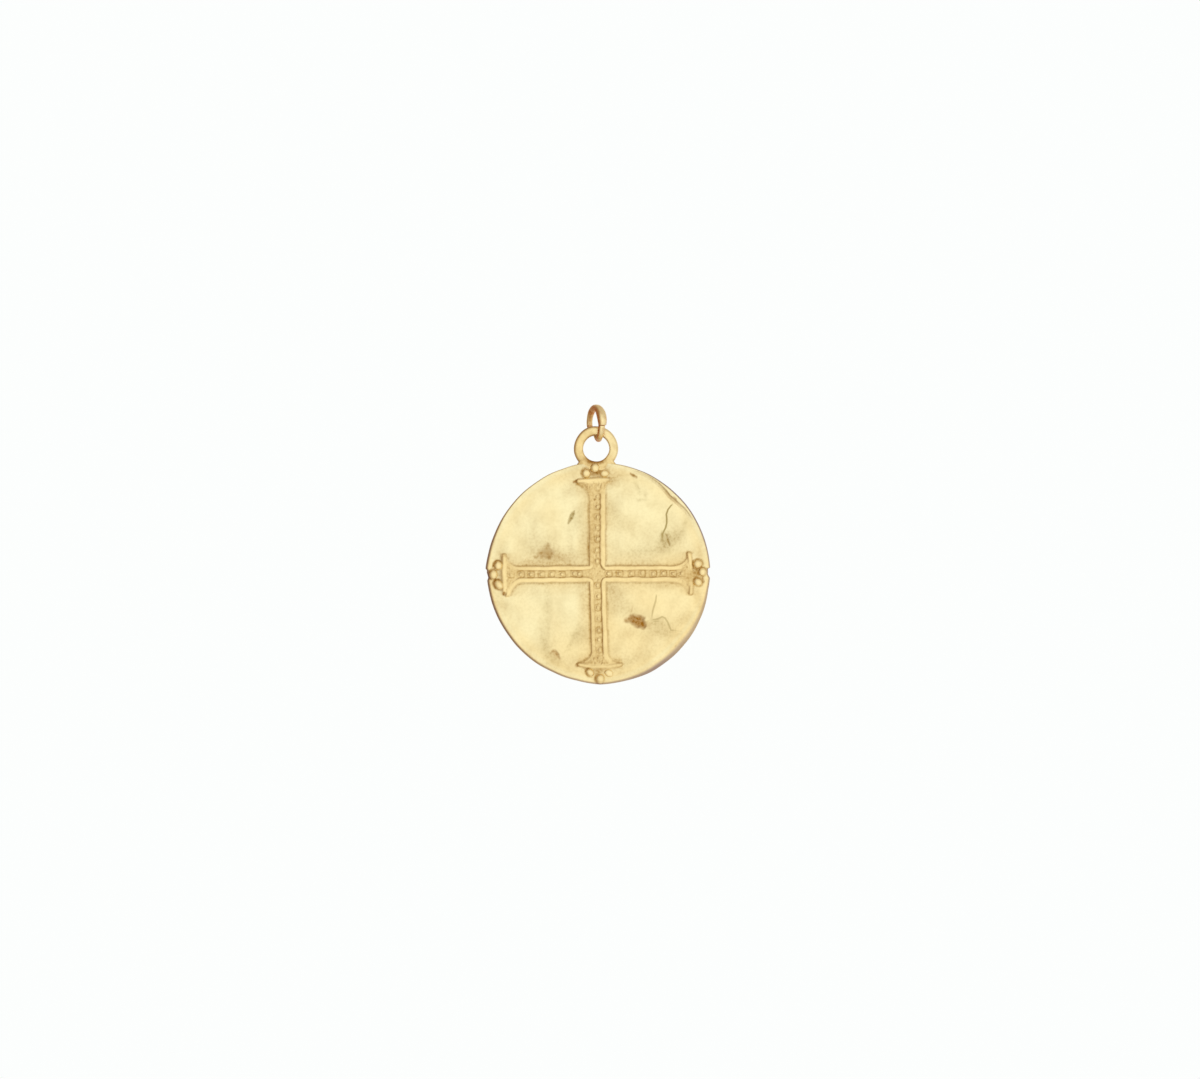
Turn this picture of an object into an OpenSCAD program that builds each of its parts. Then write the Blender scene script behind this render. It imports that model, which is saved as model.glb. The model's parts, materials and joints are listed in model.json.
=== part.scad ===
/* [Disc] */
// Diameter of the disc
disc_d = 28; // [27:0.5:32]
// Thickness of the disc
disc_t = 1.3; // [1.1:0.1:2]
// Rounding of the disc's rim
rim_round = 0.4; // [0.2:0.05:0.5]
// Depth of the round notches in the rim at the ends of the cross's side arms
notch_depth = 0.35; // [0.2:0.05:0.5]
// Radius of those notches
notch_r = 0.75; // [0.6:0.05:1]
// Thickness of the lip that is folded over the rim at the upper right
lip_w = 0.7; // [0.4:0.1:0.9]

/* [Cross] */
// Height of the cross's middle above the disc's
cross_up = -0.15; // [-0.3:0.05:0.3]
// Distance of the cross's middle to the right of the disc's
cross_right = -0.1; // [-0.3:0.05:0.3]
// Width of an arm, between the middles of its two ridges
arm_w = 1.48; // [1.3:0.02:1.7]
// Thickness of the ridges
ridge_w = 0.54; // [0.4:0.02:0.64]
// Radius of the bends where two arms meet, at the middle of the ridge
corner_r = 0.4; // [0.4:0.05:1]
// Radius of the bends that spread out to the bars
flare_r = 1.7; // [1:0.05:1.8]
// Distance of the bars from the cross's middle
bar_at = 11.7; // [11:0.05:11.8]
// Thickness of the bars
bar_w = 0.62; // [0.5:0.02:0.7]
// Length of the bars at the sides
side_bar = 5.5; // [4.4:0.1:6]
// Length of the bar at the foot
foot_bar = 5.8; // [4.4:0.1:6]
// Length of the bar at the head
head_bar = 4.4; // [4:0.1:5]
// Distance of that bar's middle to the left of the arm's
head_bar_left = 0.65; // [0:0.05:0.8]
// Part of a ridge's or bar's thickness that stands above the disc's face
relief = 0.72; // [0.55:0.01:0.8]

/* [Beads] */
// Beads along each arm, from the middle outwards
bead_count = 8; // [4:1:8]
// Distance of the first bead from the cross's middle
bead_first = 1.5; // [1.4:0.05:1.6]
// Distance from bead to bead
bead_pitch = 1.32; // [1.2:0.01:1.34]
// Diameter of the beads
bead_d = 0.68; // [0.5:0.02:0.8]
// Thickness of the little walls between the beads
wall_t = 0.16; // [0.1:0.02:0.3]
// Height of the little walls
wall_h = 0.16; // [0.1:0.02:0.25]
// Diameter of the middle pellet of the three at the end of each arm
pellet_d = 1.06; // [0.8:0.02:1.1]
// Diameter of the two pellets beside it
side_pellet_d = 0.96; // [0.7:0.02:1]
// Distance of the middle pellet from the cross's middle
pellet_at = 13.15; // [12.9:0.05:13.3]
// Distance of the side pellets from the cross's middle, along the arm
side_pellet_at = 12.55; // [12.5:0.05:12.8]
// Distance of the side pellets from the arm's middle line
side_pellet_off = 1.18; // [1.1:0.02:1.4]

/* [Loop and jump ring] */
// Outer diameter of the loop
loop_od = 5.5; // [5.2:0.1:6]
// Diameter of the loop's hole
loop_hole = 3.25; // [3:0.05:3.4]
// Depth of the loop from front to back
loop_t = 1.12; // [0.9:0.02:1.2]
// Rounding of the loop's edges
loop_round = 0.36; // [0.2:0.02:0.4]
// Distance from the disc's middle to the loop's
loop_at = 15.57; // [15.4:0.01:15.7]
// Radius of the fillets between loop and disc
fillet_r = 0.3; // [0.2:0.05:0.6]
// Outer diameter of the jump ring
ring_od = 4.9; // [4.7:0.1:5.4]
// Thickness of the jump ring's wire
ring_wire = 0.9; // [0.7:0.05:1]
// Width of the cut where the jump ring's ends meet
ring_cut = 0.05; // [0.03:0.01:0.2]
// Turn of the jump ring about the vertical, from edge on
ring_yaw = 24; // [0:1:30]
// Space between the loop and the jump ring that it hangs in
hang_gap = 0.15; // [0.08:0.01:0.2]

/* [Hidden] */
$fn = 64;
gold = "#E9CF95";
ring_gold = "#DDBB7C";

disc_r = disc_d / 2;
face = disc_t / 2;
wire_up = face - ridge_w / 2 + relief * ridge_w;
bar_up = face - bar_w / 2 + relief * bar_w;
arm_in = arm_w / 2 + corner_r;
// Part of a quarter turn that a flare makes before it runs into the bar
flare_span = 72;

// For each arm, anticlockwise from the right: how far its bar reaches past the arm's middle line, clockwise and
// anticlockwise
CLOCKWISE = 0;
ANTICLOCKWISE = 1;
BAR_REACH = [
    [side_bar / 2, side_bar / 2],
    [head_bar / 2 - head_bar_left, head_bar / 2 + head_bar_left],
    [side_bar / 2, side_bar / 2],
    [foot_bar / 2, foot_bar / 2],
];

loop_band = (loop_od - loop_hole) / 2;
loop_mid_r = (loop_od + loop_hole) / 4;
ring_mid_r = (ring_od - ring_wire) / 2;
ring_bore_r = ring_mid_r - ring_wire / 2;

// Heights, with the origin at the top of the jump ring's hole, where a chain carries it
ring_z = -ring_bore_r;
hang_z = ring_z - ring_bore_r + hang_gap + loop_band / 2;
loop_z = hang_z - loop_mid_r;
disc_z = loop_z - loop_at;

// Angle at which the jump ring's cut lies, from its foremost point, upwards
cut_angle = -7;
cut_span = 2 * asin(ring_cut / 2 / ring_mid_r);

// The lip's ends round the rim, and how far its wire stands in from the rim
lip_from = 24;
lip_to = 64;
lip_in = 0.05;

// Shallow dents in the face: place across and up from the disc's middle, radius and depth
ACROSS = 0;
UP = 1;
RADIUS = 2;
DEPTH = 3;
DENTS = [
    [-6.2, 2.6, 1.7, 0.16],
    [4.9, -6.3, 1.9, 0.18],
    [-5.5, -9.6, 1.3, 0.12],
    [8.9, 3.9, 1.4, 0.1],
];

// Lays what is drawn flat, face up, in the disc's upright plane, with its face to the front
module upright() {
    translate([0, 0, disc_z])
        rotate([90, 0, 0])
            children();
}

// A flat outline with rounded corners
module soft_square(w, h, r) {
    square([w - 2 * r, h], center = true);
    square([w, h - 2 * r], center = true);
    for (sx = [-1, 1], sy = [-1, 1])
        translate([sx * (w / 2 - r), sy * (h / 2 - r)])
            circle(r);
}

// A round wire along x, from one place to another
module wire_x(from, to, d) {
    translate([from, 0, 0])
        rotate([0, 90, 0])
            cylinder(d = d, h = to - from);
}

// A round wire bent to an arc about the origin, from one angle over a span
module wire_arc(r, d, from, span) {
    rotate([0, 0, from])
        rotate_extrude(angle = span)
            translate([r, 0])
                circle(d = d);
}

module disc_blank() {
    rotate_extrude() {
        translate([disc_r / 2, 0])
            soft_square(disc_r, disc_t, rim_round);
        translate([0, -face])
            square([disc_r / 2, disc_t]);
    }
}

module rim_notches() {
    for (side = [-1, 1])
        translate([side * (disc_r - notch_depth + notch_r), cross_up, 0])
            cylinder(r = notch_r, h = 2 * disc_t, center = true);
}

module rim_lip() {
    translate([0, 0, face - lip_w / 4])
        wire_arc(disc_r - lip_w / 2 - lip_in, lip_w, lip_from, lip_to - lip_from);
}

module dent(d) {
    ball_r = (pow(d[RADIUS], 2) + pow(d[DEPTH], 2)) / (2 * d[DEPTH]);
    translate([d[ACROSS], d[UP], face - d[DEPTH] + ball_r])
        sphere(ball_r, $fn = 360);
}

// One edge of an arm and the bend by which it spreads out to the bar, no further than the bar reaches
module arm_edge(reach) {
    bend_r = min(flare_r, (reach - arm_w / 2) / (1 - cos(flare_span)));
    translate([0, arm_w / 2, 0])
        wire_x(arm_in, bar_at - bend_r, ridge_w);
    translate([bar_at - bend_r, arm_w / 2 + bend_r, 0])
        wire_arc(bend_r, ridge_w, 270, flare_span);
}

// The ridge round one quarter of the cross: the edges of two arms and the bend between them
module quarter_ridge(quarter) {
    translate([0, 0, wire_up]) {
        translate([arm_in, arm_in, 0])
            wire_arc(corner_r, ridge_w, 180, 90);
        arm_edge(BAR_REACH[quarter][ANTICLOCKWISE]);
        mirror([1, -1, 0])
            arm_edge(BAR_REACH[(quarter + 1) % 4][CLOCKWISE]);
    }
}

module bar(reach) {
    half = bar_w / 2;
    translate([bar_at, 0, bar_up]) {
        rotate([90, 0, 0])
            translate([0, 0, half - reach[ANTICLOCKWISE]])
                cylinder(r = half, h = reach[ANTICLOCKWISE] + reach[CLOCKWISE] - bar_w);
        translate([0, reach[ANTICLOCKWISE] - half, 0])
            sphere(half);
        translate([0, half - reach[CLOCKWISE], 0])
            sphere(half);
    }
}

// The beads along one arm, with the little walls between them
module arm_beads() {
    for (i = [0:bead_count - 1])
        translate([bead_first + i * bead_pitch, 0, face])
            sphere(d = bead_d, $fn = 32);
    for (i = [1:bead_count - 1])
        translate([bead_first + (i - 0.5) * bead_pitch, 0, face])
            cube([wall_t, arm_w, 2 * wall_h], center = true);
}

module pellets() {
    translate([pellet_at, 0, face])
        sphere(d = pellet_d);
    for (side = [-1, 1])
        translate([side_pellet_at, side * side_pellet_off, face])
            sphere(d = side_pellet_d);
}

module cross() {
    translate([cross_right, cross_up, 0])
        for (quarter = [0:3])
            rotate([0, 0, 90 * quarter]) {
                quarter_ridge(quarter);
                bar(BAR_REACH[quarter]);
                arm_beads();
                pellets();
            }
}

module loop() {
    translate([0, loop_at, 0])
        rotate_extrude()
            translate([loop_mid_r, 0])
                soft_square(loop_band, loop_t, loop_round);
}

// Webs between loop and disc, hollowed to a radius, with the loop's hole left open
module loop_fillets() {
    over = 0.03;
    reach_loop = loop_od / 2 + fillet_r;
    reach_disc = disc_r + fillet_r;
    up = (pow(reach_disc, 2) - pow(reach_loop, 2) + pow(loop_at, 2)) / (2 * loop_at);
    across = sqrt(pow(reach_disc, 2) - pow(up, 2));
    linear_extrude(loop_t - 2 * loop_round, center = true)
        difference() {
            polygon([[-across, up], [0, loop_at], [across, up], [0, disc_r - 2]]);
            for (side = [-1, 1])
                translate([side * across, up])
                    circle(fillet_r + over);
            translate([0, loop_at])
                circle(d = loop_hole + 2 * over);
        }
}

module medallion() {
    color(gold)
        upright() {
            difference() {
                disc_blank();
                rim_notches();
                for (d = DENTS)
                    dent(d);
            }
            rim_lip();
            cross();
            loop();
            loop_fillets();
        }
}

module jump_ring() {
    color(ring_gold)
        translate([0, 0, ring_z])
            rotate([90, 0, ring_yaw - 90])
                wire_arc(ring_mid_r, ring_wire, cut_angle + cut_span / 2, 360 - cut_span);
}

medallion();
jump_ring();
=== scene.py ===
"""A worn gold disc with a raised cross, its loop and its jump ring, hanging in a plain white light tent."""

import json
import math

import bpy
import numpy as np
from bpy.props import FloatProperty, FloatVectorProperty, PointerProperty
from mathutils import Euler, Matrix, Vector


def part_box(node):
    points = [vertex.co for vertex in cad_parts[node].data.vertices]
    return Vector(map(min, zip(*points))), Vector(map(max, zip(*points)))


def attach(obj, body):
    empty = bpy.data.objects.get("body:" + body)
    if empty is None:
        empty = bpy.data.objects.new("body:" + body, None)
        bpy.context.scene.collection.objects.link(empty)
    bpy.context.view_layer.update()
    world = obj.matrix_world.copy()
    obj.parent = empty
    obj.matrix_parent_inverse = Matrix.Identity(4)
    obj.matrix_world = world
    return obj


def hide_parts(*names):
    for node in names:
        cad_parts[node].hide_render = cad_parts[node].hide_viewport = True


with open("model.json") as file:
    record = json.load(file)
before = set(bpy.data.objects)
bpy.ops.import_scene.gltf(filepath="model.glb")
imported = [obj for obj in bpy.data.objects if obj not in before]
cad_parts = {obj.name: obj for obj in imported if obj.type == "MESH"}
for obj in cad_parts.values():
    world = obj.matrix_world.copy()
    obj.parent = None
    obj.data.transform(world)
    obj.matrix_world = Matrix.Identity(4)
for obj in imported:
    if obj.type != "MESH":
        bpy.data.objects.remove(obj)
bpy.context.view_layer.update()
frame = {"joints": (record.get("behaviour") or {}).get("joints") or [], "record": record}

bl_info = {
    "name": "Cross Medallion Pendant",
    "version": (1, 0, 0),
    "blender": (4, 5, 0),
    "location": "3D View > Sidebar > Pendant",
    "description": "Builds a worn gold disc with a raised cross, its loop and its jump ring",
    "category": "Add Mesh",
}

MM = 0.001

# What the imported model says: the middle of the disc's back, in metres, and in millimetres the height of
# the swing's axis and of the disc's middle, half the disc's thickness, and the jump ring's box, radius and
# middle
BACK = next(m for m in frame["record"]["mounts"] if m["name"] == "back")["pos_m"]
HANG_Z = frame["joints"][0]["pos_m"][2] / MM
DISC_Z = BACK[2] / MM
FACE = BACK[1] / MM
RING_LOW, RING_HIGH = (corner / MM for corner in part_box("jump_ring"))
RING_OUT_R = (RING_HIGH.z - RING_LOW.z) / 2
RING_Z = (RING_HIGH.z + RING_LOW.z) / 2

# The arms, anticlockwise from the right as the front shows them
RIGHT, HEAD, LEFT, FOOT = range(4)

# One row for each arm: how far out its bar stands, how much further that is for each step across the arm,
# how far the bar's ends bend back, where the bar starts and ends across the arm, how blunt those two ends
# are, how far the arm leans across for each step along, how much of the bar is worn off near its middle,
# how high it stands, how dark the painted shade in the lines beside it and round its two ends is, and how
# rusty the arm's floor is
(BAR_AT, BAR_TILT, BAR_BOW, BAR_FROM, BAR_TO, BLUNT_FROM, BLUNT_TO, LEAN, BAR_WORN, BAR_HIGH,
 BAR_LINED, END_FROM, END_TO, FLOOR_RUSTY) = range(14)
ARMS = np.array([
    [11.81, -0.030, 0.24, -2.72, 2.76, 0.7, 0.8, -0.0125, 0.55, 0.20, 0.07, 0.36, 0.30, 0.07],
    [11.76, -0.045, 0.00, -1.62, 2.74, 0.3, 0.4, -0.0190, 0.00, 0.21, 0.10, 0.15, 0.44, 0.06],
    [11.69, 0.010, 0.00, -2.72, 2.52, 1.0, 0.2, -0.0060, 0.00, 0.18, 0.01, 0.15, 0.08, 0.03],
    [11.66, 0.010, 0.30, -2.88, 2.88, 0.3, 0.3, 0.0130, 0.00, 0.22, 0.17, 0.44, 0.30, 0.03],
])

# One row for each edge of an arm, clockwise edge first: how far along and across the arm it spreads to the
# bar, how far short of the bar's middle it ends, how much of its ridge stands in that flare, the ridge's
# height, how wide its outer and inner sides are, and how dark the painted shade in the lines beside them is
(FLARE_LONG, FLARE_WIDE, FLARE_ENDS, FLARE_STANDS, RIDGE_HIGH, OUTER_WIDE, INNER_WIDE,
 OUTER_DARK, INNER_DARK) = range(9)
EDGES = np.array([
    [2.30, 1.80, 0.16, 0.45, 0.15, 0.40, 0.36, 0.28, 0.12],
    [2.10, 1.75, 0.20, 0.55, 0.16, 0.29, 0.36, 0.32, 0.15],
    [1.60, 0.72, 0.12, 0.05, 0.14, 0.31, 0.49, 0.36, 0.30],
    [2.70, 1.95, 0.12, 0.40, 0.08, 0.29, 0.25, 1.10, 0.10],
    [2.60, 1.20, 0.12, 0.45, 0.16, 0.33, 0.34, 0.42, 0.16],
    [2.00, 2.60, 0.34, 1.00, 0.16, 0.35, 0.38, 0.42, 0.12],
    [1.80, 2.00, 0.26, 0.75, 0.11, 0.29, 0.30, 0.86, 0.20],
    [1.30, 1.90, 0.34, 0.80, 0.15, 0.34, 0.38, 0.36, 0.44],
])
# The last six of those where two arms meet
AT_CORNER = [0.5, 0.15, 0.3, 0.29, 0.4, 0.2]

# One row for each arm: the distances of its beads from the cross's middle
BEADS = np.array([
    [1.45, 2.80, 4.25, 5.65, 7.00, 8.30, 9.50, 10.60],
    [1.55, 2.95, 4.35, 5.80, 7.15, 8.40, 9.70, 10.80],
    [2.26, 2.92, 4.42, 5.74, 7.00, 8.36, 9.58, 10.80],
    [1.45, 2.85, 4.25, 5.65, 7.05, 8.30, 9.55, 10.65],
])

# One row for each pellet: place across and up from the disc's middle, width, how much longer it is than
# wide, the direction of its length, how dark the painted shadow that outlines it is, how brown that shadow
# is, how much of it lies on one side, and the direction of that side. A faint outline also makes a pellet
# lower
ACROSS, UP, WIDE, LONGER, POINTS, OUTLINED, SHADOW_BROWN, SIDED, DARK_AT = range(9)
PELLETS = np.array([
    [13.07, -0.13, 0.98, 1.06, 90, 0.72, 0.30, 0.60, 110],
    [12.49, 0.89, 1.12, 1.00, 0, 0.76, 0.20, 0.05, 20],
    [12.49, -1.40, 1.00, 1.12, 140, 0.76, 0.30, 0.75, 50],
    [-0.20, 13.13, 1.16, 1.00, 0, 0.62, 0.90, 0.20, 200],
    [-1.32, 12.49, 1.04, 1.05, 0, 0.75, 0.40, 0.55, 160],
    [0.98, 12.42, 0.88, 1.26, 0, 0.46, 0.40, 0.60, 110],
    [-13.14, -0.06, 1.04, 1.15, 90, 1.00, 0.60, 1.00, 165],
    [-12.52, 1.08, 1.04, 1.05, 90, 1.30, 0.65, 1.00, 150],
    [-12.49, -1.34, 1.00, 1.30, 130, 1.30, 0.65, 1.00, 175],
    [0.04, -13.32, 1.14, 1.06, 90, 0.76, 0.45, 0.95, 195],
    [-1.22, -12.52, 0.86, 1.30, 140, 0.75, 0.40, 0.95, 195],
    [1.14, -12.64, 0.92, 1.25, 150, 0.00, 0.30, 0.60, 190],
])

# Soft swells and hollows of the face, and patches on it: place, half-widths along and across their own
# direction, that direction's angle, height, and how much olive and how much tan they carry. The olive is
# painted shade; the tan is dirt, and painted shade between the pellets and their bars and along the arms
SWELL_X, SWELL_Y, SWELL_LONG, SWELL_SHORT, SWELL_TURN, SWELL_UP = range(6)
SWELLS = np.array([
    [-5.2, 7.1, 4.2, 3.6, 30, 0.17, 0.00, 0.00],
    [5.2, 7.9, 3.8, 3.2, 120, 0.15, 0.00, 0.00],
    [-9.4, -5.6, 3.8, 2.0, 100, 0.10, 0.00, 0.00],
    [-4.3, -4.3, 2.6, 1.5, 90, 0.09, 0.00, 0.00],
    [3.2, -9.0, 3.4, 2.2, 20, 0.10, 0.00, 0.00],
    [4.9, -3.1, 1.9, 1.5, 0, 0.07, 0.00, 0.00],
    [9.7, -4.2, 2.0, 1.3, 80, 0.06, 0.00, 0.00],
    [-6.3, 2.6, 1.8, 1.1, 5, -0.13, 0.12, 0.18],
    [-4.4, 2.1, 2.6, 0.8, -8, -0.04, 0.06, 0.24],
    [-7.9, 2.2, 1.4, 0.9, 40, -0.03, 0.03, 0.12],
    [-8.6, 4.3, 1.7, 1.2, 60, -0.03, 0.08, 0.04],
    [-3.4, 3.4, 1.4, 0.40, 92, -0.02, 0.10, 0.06],
    [-2.5, 6.9, 1.7, 0.6, 70, -0.05, 0.16, 0.02],
    [-1.9, 4.2, 2.6, 0.5, 90, -0.02, 0.04, 0.10],
    [-3.2, 10.9, 1.4, 0.9, 60, -0.02, 0.04, 0.14],
    [1.7, 7.9, 1.6, 0.8, 110, -0.04, 0.10, 0.06],
    [2.9, 6.5, 2.2, 0.9, 140, -0.03, 0.11, 0.02],
    [4.8, 2.6, 1.9, 0.8, 10, -0.06, 0.16, 0.06],
    [8.5, 4.1, 1.1, 0.8, 80, -0.10, 0.52, 0.02],
    [9.9, 4.3, 1.2, 0.6, 38, -0.05, 0.28, 0.00],
    [11.0, 6.0, 0.9, 0.30, 70, -0.02, 0.14, 0.00],
    [7.6, 2.7, 1.9, 0.6, 5, -0.03, 0.16, 0.06],
    [-6.50, -4.8, 3.8, 0.50, 90, -0.04, 0.18, 0.00],
    [-7.0, -8.4, 1.6, 0.34, 100, -0.03, 0.18, 0.03],
    [-5.9, -10.6, 1.9, 0.7, 130, -0.05, 0.16, 0.06],
    [-2.4, -7.6, 1.7, 0.9, 60, -0.03, 0.18, 0.02],
    [-3.6, -8.7, 1.5, 0.30, 62, -0.03, 0.16, 0.03],
    [-2.0, -3.0, 2.4, 0.6, 90, 0.00, 0.02, 0.16],
    [2.9, -4.4, 2.2, 1.2, -25, -0.05, 0.12, 0.18],
    [1.9, -2.4, 1.4, 0.7, -40, -0.03, 0.08, 0.16],
    [7.3, -6.6, 1.3, 0.6, -12, -0.05, 0.24, 0.10],
    [8.0, -7.7, 1.7, 0.5, -15, -0.03, 0.16, 0.04],
    [8.6, -1.9, 1.6, 0.4, 0, -0.02, 0.04, 0.12],
    [3.0, -11.4, 1.8, 0.6, 8, -0.03, 0.16, 0.06],
    [10.2, -6.1, 1.8, 1.0, 50, -0.02, 0.06, 0.14],
    [12.4, -3.2, 2.0, 0.6, 105, -0.02, 0.02, 0.20],
    [12.8, 2.4, 1.6, 0.5, 80, -0.02, 0.00, 0.18],
    [-12.2, -3.6, 1.8, 0.6, 115, -0.03, 0.12, 0.06],
    [-12.2, 2.7, 1.4, 0.6, 65, -0.03, 0.10, 0.10],
    [-12.50, 0.00, 0.8, 0.40, 90, 0.00, 0.04, 0.42],
    [12.30, -0.20, 0.8, 0.50, 90, 0.00, 0.14, 0.75],
    [11.60, -0.55, 0.8, 0.50, 90, 0.00, 0.00, 0.36],
    [2.2, -2.9, 1.2, 0.8, 120, 0.00, 0.00, 0.08],
    [-0.3, -12.35, 1.1, 0.3, 0, 0.00, 0.04, 0.54],
    [-0.1, 12.30, 0.9, 0.35, 0, 0.00, 0.00, 0.55],
    [-0.1, 13.2, 1.9, 0.6, 0, 0.00, 0.00, 0.40],
    [2.2, 11.6, 1.0, 0.7, 0, -0.02, 0.16, 0.12],
    [5.1, 10.6, 0.9, 0.25, 110, -0.03, 0.24, 0.00],
    [6.0, 9.7, 0.7, 0.22, 95, -0.03, 0.22, 0.00],
    [5.4, 9.0, 0.5, 0.2, 10, -0.02, 0.20, 0.00],
    [5.0, 1.3, 3.2, 0.9, 0, 0.00, 0.02, 0.16],
    [9.6, 4.2, 1.8, 1.2, 60, 0.00, 0.03, 0.10],
    [-7.2, 1.35, 3.0, 0.45, 0, 0.00, 0.00, 0.20],
    [-9.4, -4.2, 2.6, 2.4, 90, 0.00, 0.00, 0.06],
    [5.6, 4.6, 3.0, 1.6, 0, 0.00, 0.00, 0.07],
    [4.3, -1.7, 2.8, 0.9, 0, 0.00, 0.02, 0.10],
    [7.2, -7.9, 2.6, 1.5, 20, 0.00, 0.00, 0.12],
    [3.9, -10.8, 4.0, 1.6, 8, 0.00, 0.02, 0.13],
    [-4.6, -11.2, 3.4, 1.5, -20, 0.00, 0.03, 0.12],
    [2.3, 12.4, 2.4, 0.8, -8, 0.00, 0.00, 0.25],
    [-4.3, 12.2, 1.6, 0.9, 15, 0.00, 0.02, 0.12],
    [4.2, 9.9, 1.5, 1.2, 0, 0.00, 0.00, 0.09],
    [10.2, 3.8, 2.4, 1.6, 0, 0.00, 0.00, 0.07],
    [9.9, -1.9, 1.6, 1.0, 0, 0.00, 0.00, 0.07],
    [-7.2, 4.4, 1.8, 1.3, 0, 0.00, 0.02, 0.08],
    [-9.8, 6.6, 1.5, 1.3, 0, 0.00, 0.01, 0.06],
    [-5.0, -8.0, 3.0, 1.6, 20, 0.00, 0.03, 0.05],
    [3.6, -7.4, 1.6, 1.1, 0, 0.00, 0.02, 0.09],
    [2.8, -12.6, 2.2, 0.7, 5, 0.00, 0.02, 0.10],
])

# Struck marks, small stains and a few patches of painted shadow, each a run that goes from one place and
# half-width to another, with how soft its edge is, its depth, and how brown and how olive it is
MARK_X0, MARK_Y0, MARK_R0, MARK_X1, MARK_Y1, MARK_R1, MARK_SOFT, MARK_DEEP = range(8)
MARKS = np.array([
    [3.46, -6.00, 0.14, 4.25, -5.92, 0.42, 0.34, 0.12, 0.74, 0.0],
    [4.30, -5.92, 0.42, 4.98, -6.20, 0.62, 0.40, 0.20, 0.90, 0.0],
    [4.98, -6.20, 0.60, 5.54, -6.76, 0.26, 0.40, 0.18, 0.84, 0.0],
    [5.50, -6.60, 0.30, 6.20, -6.70, 0.20, 0.50, 0.04, 0.30, 0.2],
    [4.20, -4.45, 0.02, 4.12, -4.95, 0.05, 0.10, 0.02, 0.30, 0.3],
    [-3.62, 6.26, 0.04, -3.34, 6.86, 0.21, 0.18, 0.06, 0.10, 0.86],
    [-3.30, 6.92, 0.18, -3.06, 7.46, 0.16, 0.22, 0.06, 0.08, 0.78],
    [-3.06, 7.50, 0.13, -2.86, 7.78, 0.05, 0.12, 0.04, 0.10, 0.70],
    [-6.30, 3.50, 0.14, -6.38, 2.80, 0.42, 0.50, 0.05, 0.34, 0.38],
    [-6.98, 2.55, 0.24, -6.16, 2.50, 0.42, 0.50, 0.08, 0.42, 0.36],
    [-7.16, 2.62, 0.08, -6.50, 2.60, 0.16, 0.30, 0.04, 0.46, 0.50],
    [-6.60, 2.12, 0.16, -6.20, 2.04, 0.18, 0.36, 0.04, 0.36, 0.40],
    [-7.86, 2.08, 0.12, -7.68, 2.04, 0.12, 0.30, 0.02, 0.24, 0.40],
    [-7.40, 2.20, 0.16, -6.90, 2.20, 0.20, 0.40, 0.02, 0.26, 0.10],
    [-5.60, 2.04, 0.20, -3.60, 1.66, 0.10, 0.50, 0.02, 0.14, 0.16],
    [-6.18, -10.10, 0.03, -5.96, -9.82, 0.07, 0.22, 0.05, 0.36, 0.2],
    [-5.96, -9.82, 0.09, -5.62, -9.80, 0.14, 0.22, 0.08, 0.58, 0.1],
    [-5.62, -9.80, 0.14, -5.30, -10.20, 0.16, 0.22, 0.08, 0.60, 0.1],
    [-5.30, -10.20, 0.14, -5.07, -10.66, 0.05, 0.22, 0.06, 0.48, 0.1],
    [-5.75, -10.10, 0.12, -5.45, -10.30, 0.16, 0.40, 0.02, 0.30, 0.1],
    [4.22, 12.36, 0.05, 4.62, 12.10, 0.12, 0.10, 0.08, 0.62, 0.5],
    [4.62, 12.10, 0.12, 5.02, 11.88, 0.05, 0.10, 0.08, 0.62, 0.5],
    [8.56, 4.66, 0.05, 8.76, 4.06, 0.10, 0.16, 0.06, 0.18, 0.85],
    [8.76, 4.06, 0.11, 9.00, 3.22, 0.05, 0.14, 0.06, 0.20, 0.95],
    [8.16, 4.75, 0.12, 8.26, 3.80, 0.24, 0.46, 0.05, 0.06, 0.60],
    [8.26, 3.80, 0.24, 8.38, 3.20, 0.12, 0.40, 0.05, 0.06, 0.52],
    [8.34, 3.10, 0.08, 8.00, 2.66, 0.05, 0.25, 0.03, 0.06, 0.32],
    [8.30, 4.30, 0.10, 8.66, 4.10, 0.10, 0.50, 0.02, 0.06, 0.30],
    [-11.92, -2.54, 0.13, -11.84, -2.40, 0.14, 0.16, 0.08, 0.85, 0.0],
    [-2.86, 11.44, 0.09, -2.66, 11.47, 0.12, 0.18, 0.05, 0.80, 0.0],
    [-2.98, -11.60, 0.07, -2.84, -11.64, 0.10, 0.18, 0.05, 0.55, 0.0],
    [13.02, -0.66, 0.05, 13.16, -0.62, 0.07, 0.20, 0.03, 0.60, 0.1],
    [13.07, -0.84, 0.06, 13.20, -1.34, 0.07, 0.14, 0.03, 0.74, 0.2],
    [9.62, 9.28, 0.06, 9.90, 9.04, 0.06, 0.14, 0.04, 0.45, 0.2],
    [9.55, -9.45, 0.04, 9.60, -9.30, 0.05, 0.12, 0.02, 0.20, 0.2],
    [0.30, 0.92, 0.03, 0.76, 0.38, 0.07, 0.14, 0.02, 0.34, 0.4],
    # Painted shadow on the lower wall of the loop's hole, then painted shade round the head's pellets
    [-0.95, 13.62, 0.04, -0.10, 13.70, 0.12, 0.20, 0.00, 0.70, 0.0],
    [-0.10, 13.70, 0.12, 0.75, 13.56, 0.04, 0.20, 0.00, 0.70, 0.0],
    [-0.45, 12.36, 0.22, 0.30, 12.36, 0.22, 0.40, 0.00, 0.24, 0.0],
    [-1.35, 13.30, 0.25, 0.85, 13.34, 0.25, 0.50, 0.00, 0.16, 0.0],
    [-12.12, 1.40, 0.04, -12.08, 2.16, 0.06, 0.14, 0.02, 0.40, 0.3],
    [11.95, 0.34, 0.08, 13.65, 0.26, 0.07, 0.24, 0.03, 0.36, 0.1],
    [1.60, -11.10, 0.04, 2.55, -11.38, 0.06, 0.14, 0.02, 0.30, 0.3],
])

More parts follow.
